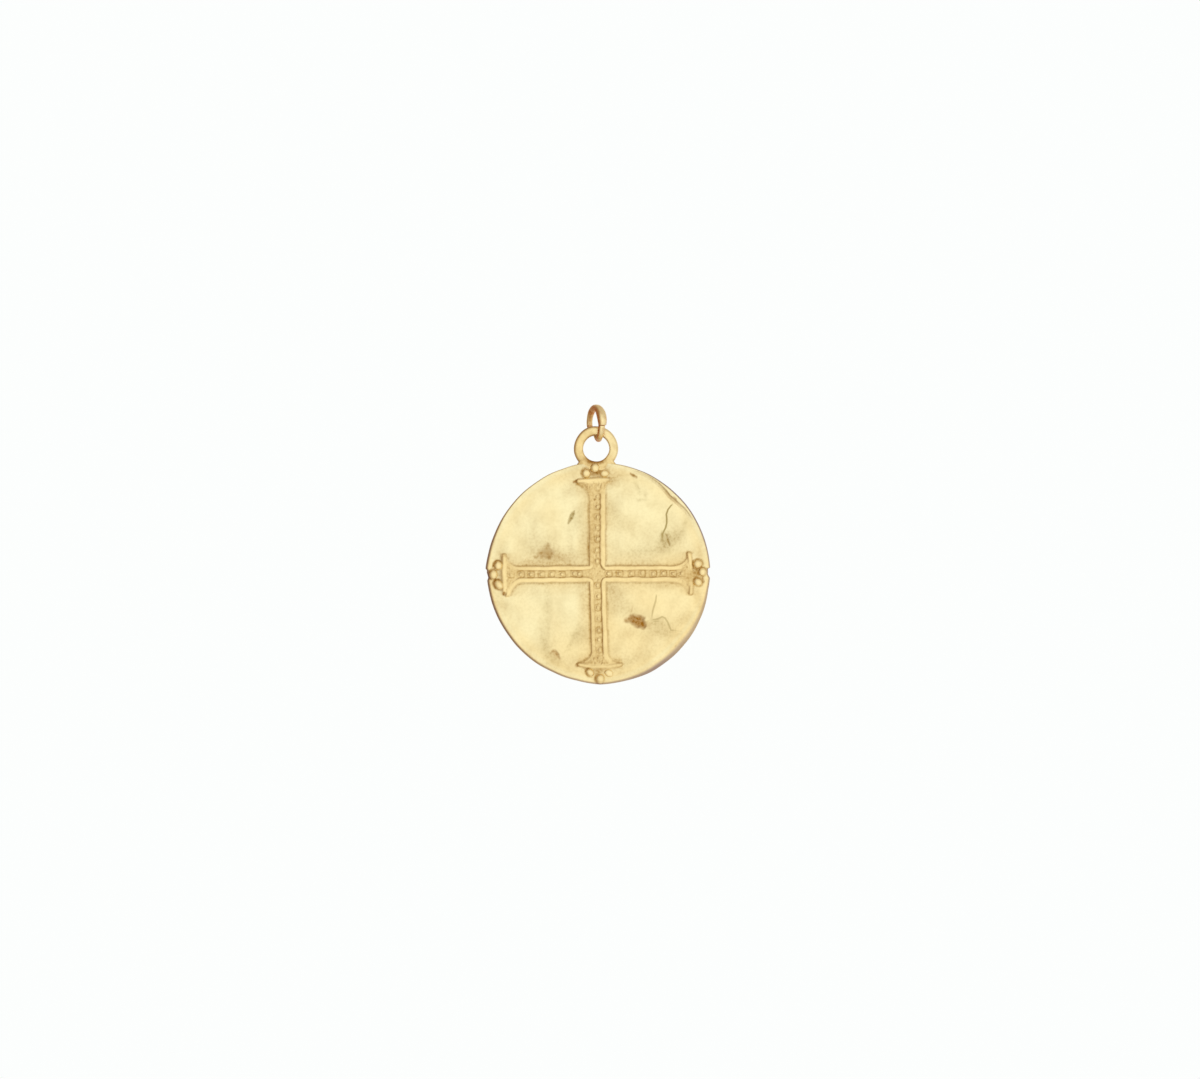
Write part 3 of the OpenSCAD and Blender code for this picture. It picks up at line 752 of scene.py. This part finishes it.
def disc_shell():
    """The disc as one closed shell, as (points, faces, finishes). Its front is a square grid bent towards
    a circle, x = a u sqrt(1 - k v^2) and the same with u and v changed about, then rings from the grid's
    edge to the rim. Its height is face_at. The rings go on down the wall, round a back edge that is a
    quarter circle, and in to the back's middle."""
    half, squareness = 12.1, 0.38
    places = spaced((1.3, 0.06), (half, 0.105))
    line = np.concatenate([-places[:0:-1], places]) / half
    u, v = np.meshgrid(line, line)
    x = half * u * np.sqrt(1 - squareness * v ** 2)
    y = half * v * np.sqrt(1 - squareness * u ** 2)
    count = len(line)
    index = np.arange(count * count).reshape(count, count)
    edge = np.concatenate([
        index[0, :-1], index[:-1, -1], index[-1, :0:-1], index[:0:-1, 0]])

    eu, ev = u.ravel()[edge], v.ravel()[edge]
    way_x, way_y = eu * np.sqrt(1 - ev ** 2 / 2), ev * np.sqrt(1 - eu ** 2 / 2)
    angle = np.degrees(np.arctan2(way_y, way_x)) % 360
    rim = outline(angle)
    steps = 1 - (1 - np.linspace(0, 1, 14)[1:]) ** 1.6
    ring_x = x.ravel()[edge] + (way_x * rim - x.ravel()[edge]) * steps[:, None]
    ring_y = y.ravel()[edge] + (way_y * rim - y.ravel()[edge]) * steps[:, None]

    front_x = np.concatenate([x.ravel(), ring_x.ravel()])
    front_y = np.concatenate([y.ravel(), ring_y.ravel()])
    height, finishes = face_at(front_x, front_y)
    front = np.stack([front_x, -FACE - height, front_y], axis=-1)

    wall_start = front[-len(edge):, 1]
    round_r = 0.40
    wall_end = FACE - round_r
    turn = np.linspace(0, np.pi / 2, 5)
    wall_y = [wall_start + (wall_end - wall_start) * t for t in (0.34, 0.67)]
    wall_y += [np.full(len(edge), wall_end + round_r * np.sin(t)) for t in turn]
    wall_in = [0, 0] + [round_r * (1 - np.cos(t)) for t in turn]
    shares = 1 - np.linspace(0, 1, 16)[1:-1]
    rows = [np.stack([way_x * (rim - inset), y_row, way_y * (rim - inset)], axis=-1)
            for inset, y_row in zip(wall_in, wall_y)]
    for share in shares:
        bx, by = way_x * (rim - round_r) * share, way_y * (rim - round_r) * share
        sink = 0.03 * (1 + waves(bx, by, 6.0, 31)) + 0.012 * (1 + waves(bx, by, 2.1, 32))
        sink = sink * smooth(0, 2.0, (1 - share) * size("disc_radius"))
        rows.append(np.stack([bx, FACE - sink, by], axis=-1))
    rear = np.concatenate(rows)
    middle = np.array([[0, rows[-1][:, 1].mean(), 0]])
    points = np.concatenate([front, rear, middle]) + [0, 0, DISC_Z]

    grid = grid_quads(count, count, wrap=False)
    loops = np.concatenate([
        edge[None, :],
        count * count + np.arange((len(steps) + len(rows)) * len(edge)).reshape(-1, len(edge))])
    after = np.roll(loops, -1, axis=1)
    rings = np.stack([loops[:-1], loops[1:], after[1:], after[:-1]], axis=-1).reshape(-1, 4)
    cap = np.stack([loops[-1], np.full(len(edge), len(points) - 1), after[-1]], axis=-1)
    faces = grid.tolist() + rings.tolist() + cap.tolist()

    # Painted shade on the disc's wall, darkest next to the front and gone round the back edge
    edge_dark = [0.45, 0.30, *np.linspace(0.30, 0.0, len(turn)), *[0.0] * len(shares)]
    rear_edge = np.repeat(edge_dark, len(edge))
    wear = 0.20 * smooth(-0.2, 0.9, waves(rear[:, 0], rear[:, 2], 5.0, 33))
    behind = plain_finishes(len(rear) + 1, edge=np.append(rear_edge, 0.0), olive=np.append(wear, 0.0))
    finishes = {key: np.concatenate([finishes[key], behind[key]]) for key in FINISHES}
    return points, faces, finishes


def ball_faces(rows, columns):
    """Corner numbers of a closed ball's faces: circles of latitude, then the points at its front and back."""
    count = (rows - 1) * columns
    ring = np.arange(columns)
    after = (ring + 1) % columns
    last = (rows - 2) * columns
    front = np.stack([ring, after, np.full(columns, count)], axis=-1)
    back = np.stack([last + after, last + ring, np.full(columns, count + 1)], axis=-1)
    quads = grid_quads(rows - 1, columns, wrap=True)[:, ::-1]
    return quads.tolist() + front.tolist() + back.tolist()


def pellet_shells():
    """The pellets, as (points, faces, finishes): closed balls, flattened at the front as a superellipse of
    power 2.2, longer one way than the other, half sunk in the disc's face, and lower where the outline is
    faint."""
    rows, columns, power = 16, 32, 2 / 2.2
    polar = np.linspace(0, np.pi, rows + 1)[1:-1][:, None]
    about = full_turn(columns)[None, :]
    out, proud = np.sin(polar) ** power, signed_power(np.cos(polar), power)
    shape = as_points(out * np.cos(about), -proud, out * np.sin(about))
    shape = np.concatenate([shape, [[0, -1, 0], [0, 1, 0]]])
    starts = range(0, len(PELLETS) * len(shape), len(shape))
    each = ball_faces(rows, columns)
    points, grime, brown = [], [], []
    for row in PELLETS:
        half = row[WIDE] / 2
        long, short = shape[:, 0] * half * row[LONGER], shape[:, 2] * half
        long = long * (1 + 0.05 * waves(shape[:, 0], shape[:, 2] + row[UP], 1.5, 8))
        dx, dz = turned(long, short, -row[POINTS])
        stands = half * (0.40 + 0.24 * min(1, row[OUTLINED] / 0.6))
        points.append(as_points(row[ACROSS] + dx, -FACE - 0.02 + stands * shape[:, 1], row[UP] + dz + DISC_Z))
        # Painted shade on the lower part of each pellet, darkest on the side its row gives, as brown as its
        # row says
        low = smooth(0.48, 0.04, -shape[:, 1])
        towards = turned(dx, dz, row[DARK_AT])[0] / half
        ring = row[OUTLINED] * low * (1 - (0.25 + 0.75 * row[SIDED]) * (0.5 - 0.5 * towards))
        grime.append(0.9 * ring)
        brown.append(0.7 * row[SHADOW_BROWN] * ring)
    faces = [[start + corner for corner in face] for start in starts for face in each]
    points = np.concatenate(points)
    return points, faces, plain_finishes(len(points), warm=0.8, grime=grime, brown=brown)


def loop_reach(elevation):
    """The loop's outer radius by the angle above its own horizontal: round, then out along the hollow
    fillet to the disc's rim, where the ray from the loop's middle first meets the fillet's circle."""
    outer = size("loop_radius") + size("loop_band") / 2
    loop_z = HANG_Z - size("loop_radius")
    fillet = 0.12
    from_disc, from_loop, apart = size("disc_radius") + fillet, outer + fillet, loop_z - DISC_Z
    up = (from_disc ** 2 - from_loop ** 2 + apart ** 2) / (2 * apart)
    centre_x, centre_z = math.sqrt(from_disc ** 2 - up ** 2), up - apart
    away, lies = math.hypot(centre_x, centre_z), math.atan2(centre_z, centre_x)
    folded = np.arcsin(np.sin(elevation))
    delta = np.clip(lies - folded, 0, None)
    limit = math.asin(fillet / away)
    inner = np.minimum(delta, limit)
    near = away * np.cos(inner) - np.sqrt(np.clip(fillet ** 2 - (away * np.sin(inner)) ** 2, 0, None))
    buried = near + 0.35 * smooth(limit, limit + 0.03, delta)
    return np.where(delta > 0, buried, outer)


def loop_shell():
    """The loop, as (points, faces, finishes): a section carried round a circle. The section is a
    superellipse of power 5 inside and 3.2 outside. Its inner side lies at the hole and its outer side at
    loop_reach, and it thickens where the loop meets the disc."""
    around, about = 224, 40
    elevation = full_turn(around)[:, None]
    turn = full_turn(about)[None, :]
    power = np.where(np.cos(turn) > 0, 2 / 3.2, 2 / 5.0)
    across, deep = signed_power(np.cos(turn), power), signed_power(np.sin(turn), power)
    hole = size("loop_radius") - size("loop_band") / 2
    reach = loop_reach(elevation)
    foot = smooth(-0.30, -0.75, np.sin(elevation))
    mid = size("loop_radius")
    radius = np.where(across > 0, mid + across * (reach - mid), mid + across * (mid - hole))
    bent = radius + 0.07 * np.maximum(across, 0) * bell(elevation - math.radians(108), math.radians(38))
    bent = bent + 0.04 * np.maximum(across, 0) * bell(elevation - math.pi, 0.6)
    bent = bent + 0.02 * waves(np.cos(elevation) * 3, np.sin(elevation) * 3, 3.0, 41)
    thick = (0.56 + 0.10 * foot) * (1 + 0.02 * waves(np.cos(elevation) * 3, np.sin(elevation) * 3, 2.4, 42))
    points = as_points(bent * np.cos(elevation), thick * deep, bent * np.sin(elevation) + HANG_Z - mid)
    faces = grid_quads(around, about, wrap=True)
    last = (around - 1) * about
    ring = np.arange(about)
    closing = np.stack([last + ring, last + (ring + 1) % about, (ring + 1) % about, ring], axis=-1)
    faces = np.concatenate([faces, closing])[:, ::-1]
    # Painted shade on the loop: a dark line down its outer left side, darkness at the bottom and top of its
    # hole and where the jump ring rests on it, and a little over its left side
    outer_left = smooth(0.80, 1.0, across) * smooth(0.45, -0.4, np.cos(elevation + 0.2))
    low = smooth(-0.60, -0.98, np.sin(elevation + 0.12)) * smooth(0.1, -0.85, across)
    high = smooth(0.3, 0.95, np.sin(elevation)) * smooth(-0.45, -0.95, across)
    at_ring = smooth(0.62, 0.98, across) * bell(elevation - math.radians(104), math.radians(22))
    warm = 0.6 + 0.4 * np.maximum(foot, smooth(0.3, -0.7, np.cos(elevation)))
    at_left = smooth(0.1, -0.8, np.cos(elevation))
    mottled = 0.16 * smooth(0.1, 0.9, waves(bent * np.cos(elevation), bent * np.sin(elevation), 1.6, 43))
    return points, faces.tolist(), plain_finishes(
        around * about, warm=np.repeat(warm, about),
        grime=0.24 * foot + 0.38 * low + 0.25 * high + mottled + 0.10 * at_left,
        brown=0.85 * outer_left + 0.56 * high + 0.80 * low + 0.6 * at_ring)


def wire_at(turn, column):
    """A column of the wire's table at each step round the ring, evened out over eleven steps."""
    values = np.interp(np.degrees(turn.ravel()), RING_WIRE[:, RING_TURN], RING_WIRE[:, column])
    ease = np.hanning(11) / np.hanning(11).sum()
    return np.convolve(np.pad(values, 5, "edge"), ease, "valid")[:, None]


def ring_shell():
    """The jump ring, as (points, faces, finishes): a round wire carried round an upright circle from one
    side of the cut to the other, thinned and bent as the table of its wire says. Its ends are domed."""
    around, about = 220, 32
    wire = size("wire_radius")
    mid = RING_OUT_R - wire
    cut_wide = 0.05
    gap = cut_wide / 2 / mid
    cut = bpy.context.scene.pendant_sizes.ring_cut
    yaw = bpy.context.scene.pendant_sizes.ring_yaw
    turn = np.linspace(cut + gap, cut + 2 * np.pi - gap, around)[:, None]
    about_wire = full_turn(about)[None, :]
    thin, lift, aside = (wire_at(turn, column) for column in (RING_THICK, RING_LIFT, RING_ASIDE))
    thin = thin * (1 + 0.02 * waves(np.cos(turn) * 3, np.sin(turn) * 3, 2.5, 51))
    front = np.array([math.sin(yaw), -math.cos(yaw), 0.0])
    side = np.array([math.cos(yaw), math.sin(yaw), 0.0])
    up = np.array([0.0, 0.0, 1.0])
    radial = np.cos(turn)[..., None] * front + np.sin(turn)[..., None] * up
    along = np.cos(turn)[..., None] * up - np.sin(turn)[..., None] * front
    raised = 0.09
    centre = mid * radial + (RING_Z + raised + lift[..., None]) * up + aside[..., None] * side
    flat = 2 / 2.5
    out, beside = signed_power(np.cos(about_wire), flat), signed_power(np.sin(about_wire), flat)
    half_wire = 0.97 * wire * thin[..., None]
    tube = centre + half_wire * (out[..., None] * radial + beside[..., None] * side)
    dome = 0.02
    first, last = [], []
    for inset, proud in ((0.97, 0.35), (0.88, 0.7), (0.6, 0.95)):
        first.append(centre[:1] + (tube[:1] - centre[:1]) * inset - along[:1] * proud * dome)
        last.append(centre[-1:] + (tube[-1:] - centre[-1:]) * inset + along[-1:] * proud * dome)
    rows = np.concatenate(first[::-1] + [tube] + last)
    count = len(rows)
    points = np.concatenate([
        rows.reshape(-1, 3),
        (centre[0] - along[0] * dome).reshape(1, 3), (centre[-1] + along[-1] * dome).reshape(1, 3)])
    ring = np.arange(about)
    after = (ring + 1) % about
    end = (count - 1) * about
    faces = grid_quads(count, about, wrap=True).tolist()
    faces += np.stack([after, ring, np.full(about, count * about)], axis=-1).tolist()
    faces += np.stack([end + ring, end + after, np.full(about, count * about + 1)], axis=-1).tolist()

    turns = np.concatenate([np.repeat(turn[0], 3), turn.ravel(), np.repeat(turn[-1], 3)])
    turns = np.append(np.repeat(turns, about), [turn[0, 0], turn[-1, 0]])
    abouts = np.append(np.tile(about_wire.ravel(), count), [0.0, 0.0])
    inwards, to_right = -np.cos(abouts), np.sin(abouts)
    downwards = -np.cos(abouts) * np.sin(turns)
    at_bottom = smooth(-0.82, -0.98, np.sin(turns))
    behind = smooth(0.1, -0.5, np.cos(turns))
    from_cut = np.minimum(turns - turn[0, 0], turn[-1, 0] - turns) * mid
    # Most of the brown is painted shade and dark painted reflections: inside and over the top, under the
    # bottom, along both edges of the front strand, where the back strand meets the loop and inside the back
    # strand. The rest darkens the wire by its cut and mottles it. The darkening of the back strand is painted
    # shade
    brown = np.maximum.reduce([
        0.92 * bell(turns - math.radians(122), 0.34) * smooth(-0.9, 0.2, inwards),
        0.80 * bell(turns - math.radians(90), 0.50) * smooth(1.25, 0.4, -inwards),
        0.80 * at_bottom * smooth(-0.1, 0.7, downwards),
        0.90 * smooth(0.70, 0.98, -to_right) * (1 - 0.95 * behind),
        0.74 * smooth(0.45, 0.85, to_right) * (1 - behind),
        0.70 * bell(turns - math.radians(189), 0.10),
        0.40 * behind * smooth(0.5, 1.0, inwards),
        0.70 * smooth(0.06, 0.0, from_cut),
        0.24 * smooth(0.1, 0.9, waves(turns * 2.2, to_right * 1.2, 1.1, 52)),
    ])
    return points, faces, plain_finishes(len(points), brown=brown, grime=0.06 * behind)


class Shade:
    """A socket of a material's nodes. Arithmetic on it adds Math nodes, and node adds any other node."""

    def __init__(self, tree, socket=None):
        self.tree = tree
        self.socket = socket

    def node(self, kind, settings=None, sockets=None, out=0):
        """Adds a node of a type, sets its settings, then its sockets' values or links, and gives one
        output."""
        made = self.tree.nodes.new(kind)
        for name, value in (settings or {}).items():
            setattr(made, name, value)
        for name, value in (sockets or {}).items():
            if isinstance(value, Shade):
                self.tree.links.new(value.socket, made.inputs[name])
            else:
                made.inputs[name].default_value = value
        return Shade(self.tree, made.outputs[out]) if made.outputs else None

    def maths(self, operation, first, second):
        return self.node("ShaderNodeMath", {"operation": operation}, {0: first, 1: second})

    def __add__(self, other):
        return self.maths("ADD", self, other)

    def __radd__(self, other):
        return self.maths("ADD", other, self)

    def __sub__(self, other):
        return self.maths("SUBTRACT", self, other)

    def __rsub__(self, other):
        return self.maths("SUBTRACT", other, self)

    def __mul__(self, other):
        return self.maths("MULTIPLY", self, other)

    def __rmul__(self, other):
        return self.maths("MULTIPLY", other, self)

    def absolute(self):
        return self.maths("ABSOLUTE", self, 0.0)

    def between(self, low, high):
        """This value taken from the range low to high to the range 0 to 1, clamped, with a smooth ease."""
        return self.node("ShaderNodeMapRange", {"interpolation_type": "SMOOTHSTEP"},
                         {"Value": self, "From Min": low, "From Max": high})

    def mix(self, first, second):
        """The colour that goes from first to second as this value goes from 0 to 1."""
        return self.node("ShaderNodeMix", {"data_type": "RGBA"}, {0: self, 6: first, 7: second}, out=2)


def attribute(tree, name):
    return Shade(tree).node("ShaderNodeAttribute", {"attribute_name": name}, out=2)


def noise(tree, width, detail=2.0):
    """Noise on Object coordinates whose spots are about that wide, in millimetres."""
    place = Shade(tree).node("ShaderNodeTexCoord", out=3)
    sockets = {"Vector": place, "Scale": 1 / (width * MM), "Detail": detail}
    return Shade(tree).node("ShaderNodeTexNoise", {}, sockets)


def rgba(colour):
    return (*colour, 1.0)


def new_material(name):
    material = bpy.data.materials.new(name)
    material.use_nodes = True
    return material, material.node_tree, material.node_tree.nodes["Principled BSDF"]


def worn_gold(name, plain, warm, brown):
    """Worn gold: its plain colour, warmed, shaded olive, grimed, browned and darkened by the piece's
    attributes, which carry dirt and stains together with painted shade and painted reflections, with thin
    dark cracks, mottled by noise, and with a fine grain in its bump and roughness."""
    colours = bpy.context.scene.pendant_colours
    material, tree, shader = new_material(name)
    mottle = noise(tree, 1.9).between(0.30, 0.72)
    specks = noise(tree, 0.34, 3.0).between(0.38, 0.72)
    colour = attribute(tree, "warm").mix(rgba(plain), rgba(warm))
    olive = attribute(tree, "olive") * (0.76 + 0.5 * specks) + 0.035 * mottle + 0.07 * specks
    colour = olive.mix(colour, rgba(colours.olive))
    grime = attribute(tree, "grime") * (0.74 + 0.55 * specks) + 0.05 * mottle
    colour = grime.mix(colour, rgba(colours.grime))
    stain = attribute(tree, "brown") * (0.80 + 0.36 * specks)
    colour = stain.mix(colour, rgba(brown))
    colour = attribute(tree, "edge").mix(colour, rgba(colours.edge))
    apart = attribute(tree, "crack_side").absolute()
    crack = (1.0 - apart.between(0.5, 1.6)) * attribute(tree, "crack")
    colour = crack.mix(colour, rgba(colours.olive))
    tree.links.new(colour.socket, shader.inputs["Base Color"])
    rough = 0.31 + 0.10 * mottle + 0.14 * grime + 0.20 * stain
    tree.links.new(rough.socket, shader.inputs["Roughness"])
    grain = noise(tree, 0.16, 3.0) * 0.35 + noise(tree, 0.55)
    bump = grain.node("ShaderNodeBump", {}, {"Strength": 0.31, "Distance": 0.03 * MM, "Height": grain})
    tree.links.new(bump.socket, shader.inputs["Normal"])
    shader.inputs["Metallic"].default_value = 1.0
    return material


def fasten(piece, body, node):
    """Makes a piece move with a body, and hides the node's part that it stands for."""
    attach(piece, body)
    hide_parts(node)


def medallion_gold():
    colours = bpy.context.scene.pendant_colours
    return bpy.data.materials.get("worn_pale_gold") or worn_gold(
        "worn_pale_gold", colours.gold, colours.warm_gold, colours.brown)


def add_to_medallion(name, shell):
    """Makes one piece of the medallion from its points, faces and finishes, and fastens it."""
    fasten(make_piece(name, *shell, medallion_gold()), "pendant", "medallion")


class PENDANT_OT_disc(bpy.types.Operator):
    """Makes the disc with its raised cross"""

    bl_idname = "pendant.disc"
    bl_label = "Disc and cross"

    def execute(self, context):
        add_to_medallion("cross_disc", disc_shell())
        return {"FINISHED"}


class PENDANT_OT_pellets(bpy.types.Operator):
    """Makes the pellets at the ends of the cross's arms"""

    bl_idname = "pendant.pellets"
    bl_label = "Pellets"

    def execute(self, context):
        add_to_medallion("cross_pellets", pellet_shells())
        return {"FINISHED"}


class PENDANT_OT_loop(bpy.types.Operator):
    """Makes the loop on top of the disc"""

    bl_idname = "pendant.loop"
    bl_label = "Loop"

    def execute(self, context):
        add_to_medallion("hanging_loop", loop_shell())
        return {"FINISHED"}


class PENDANT_OT_jump_ring(bpy.types.Operator):
    """Makes the jump ring that the loop hangs in"""

    bl_idname = "pendant.jump_ring"
    bl_label = "Jump ring"

    def execute(self, context):
        colours = context.scene.pendant_colours
        material = worn_gold("worn_ring_gold", colours.ring_gold, colours.ring_gold, colours.ring_brown)
        piece = make_piece("split_jump_ring", *ring_shell(), material)
        fasten(piece, "ring", "jump_ring")
        return {"FINISHED"}


# The light tent, in metres: its floor's height and radius, the radius of the bend between floor and wall,
# and the heights where the straight wall starts and ends, then how many steps it has round
TENT_FLOOR = -0.30
TENT_RADIUS = 0.95
TENT_BEND = 0.45
TENT_WALL = 0.5
TENT_TOP = 1.6
TENT_STEPS = 96

# The camera's place in millimetres, its roll in degrees, and its lens and sensor
CAMERA_AT = (0.299, -418.8, -16.007)
CAMERA_ROLL = -0.9
LENS = 100
SENSOR = 36


def tent_cloth():
    """The tent's cloth as the camera sees it: plain and evenly white."""
    material, tree, _ = new_material("tent_cloth")
    tree.nodes.clear()
    start = Shade(tree)
    glow = start.node("ShaderNodeEmission", {}, {"Color": (0.985, 1.0, 0.992, 1.0), "Strength": 0.992})
    start.node("ShaderNodeOutputMaterial", {}, {"Surface": glow})
    return material


def tent_light():
    """The light that comes through the tent's cloth, by its direction: full from the front, and dimmer and
    warmer from the left, from above and, less so, from the right, from below and from behind."""
    world = bpy.data.worlds.new("tent_light")
    world.use_nodes = True
    tree = world.node_tree
    way = Shade(tree).node("ShaderNodeTexCoord", out=0)
    split = way.node("ShaderNodeSeparateXYZ", {}, {0: way}).socket.node
    x, y, z = (Shade(tree, split.outputs[i]) for i in range(3))
    dim = 0.84 * (x * -1.0).between(0.12, 0.95)
    dim = dim + 0.34 * x.between(0.40, 1.0)
    dim = dim + 0.55 * z.between(0.20, 0.95) + 0.36 * (z * -1.0).between(0.30, 0.95)
    dim = dim + 0.10 * y.between(-0.2, 0.8)
    colour = dim.mix((1.06, 1.06, 1.05, 1), (0.34, 0.215, 0.115, 1))
    tree.links.new(colour.socket, tree.nodes["Background"].inputs["Color"])
    return world


def make_tent():
    """A round tent: a flat floor, a bend of a quarter circle, and an upright wall, as a profile turned
    about the vertical."""
    bend = np.linspace(0, np.pi / 2, 12)
    radius = np.concatenate([[0.02], np.linspace(0.2, TENT_RADIUS - 0.05, 6),
                             TENT_RADIUS + TENT_BEND * np.sin(bend), [TENT_RADIUS + TENT_BEND] * 4])
    height = np.concatenate([np.full(7, TENT_FLOOR), TENT_FLOOR + TENT_BEND * (1 - np.cos(bend)),
                             np.linspace(TENT_WALL, TENT_TOP, 4)])
    turn = full_turn(TENT_STEPS)
    points = as_points(radius[:, None] * np.cos(turn), radius[:, None] * np.sin(turn), height[:, None])
    faces = grid_quads(len(radius), TENT_STEPS, wrap=True).tolist() + [list(range(TENT_STEPS))[::-1]]
    tent = make_piece("light_tent", points / MM, faces, {}, tent_cloth())
    tent.visible_diffuse = tent.visible_glossy = tent.visible_shadow = False
    return tent


class PENDANT_OT_stage(bpy.types.Operator):
    """Makes the light tent, its light and the camera"""

    bl_idname = "pendant.stage"
    bl_label = "Light tent and camera"

    def execute(self, context):
        scene = context.scene
        make_tent()
        scene.world = tent_light()
        scene.view_settings.view_transform = "Standard"
        data = bpy.data.cameras.new("camera")
        data.lens = LENS
        data.sensor_width = SENSOR
        data.clip_start, data.clip_end = 0.01, 10
        camera = bpy.data.objects.new("camera", data)
        camera.location = [place * MM for place in CAMERA_AT]
        camera.rotation_euler = (Euler((math.pi / 2, 0, 0)).to_matrix()
                                 @ Euler((0, 0, math.radians(CAMERA_ROLL))).to_matrix()).to_euler()
        scene.collection.objects.link(camera)
        scene.camera = camera
        return {"FINISHED"}


OPERATORS = (PENDANT_OT_disc, PENDANT_OT_pellets, PENDANT_OT_loop, PENDANT_OT_jump_ring, PENDANT_OT_stage)


class PENDANT_PT_panel(bpy.types.Panel):
    """The sidebar panel with the pendant's sizes, colours and operators"""

    bl_label = "Cross Medallion Pendant"
    bl_idname = "PENDANT_PT_panel"
    bl_space_type = "VIEW_3D"
    bl_region_type = "UI"
    bl_category = "Pendant"

    def draw(self, context):
        layout = self.layout
        for group in (context.scene.pendant_sizes, context.scene.pendant_colours):
            column = layout.column()
            for name in group.__annotations__:
                column.prop(group, name)
        for operator in OPERATORS:
            layout.operator(operator.bl_idname)


CLASSES = (PendantSizes, PendantColours, *OPERATORS, PENDANT_PT_panel)


def register():
    for cls in CLASSES:
        bpy.utils.register_class(cls)
    bpy.types.Scene.pendant_sizes = PointerProperty(type=PendantSizes)
    bpy.types.Scene.pendant_colours = PointerProperty(type=PendantColours)


def unregister():
    del bpy.types.Scene.pendant_sizes
    del bpy.types.Scene.pendant_colours
    for cls in reversed(CLASSES):
        bpy.utils.unregister_class(cls)


def main():
    register()
    bpy.ops.pendant.disc()
    bpy.ops.pendant.pellets()
    bpy.ops.pendant.loop()
    bpy.ops.pendant.jump_ring()
    bpy.ops.pendant.stage()


if __name__ == "__main__":
    main()
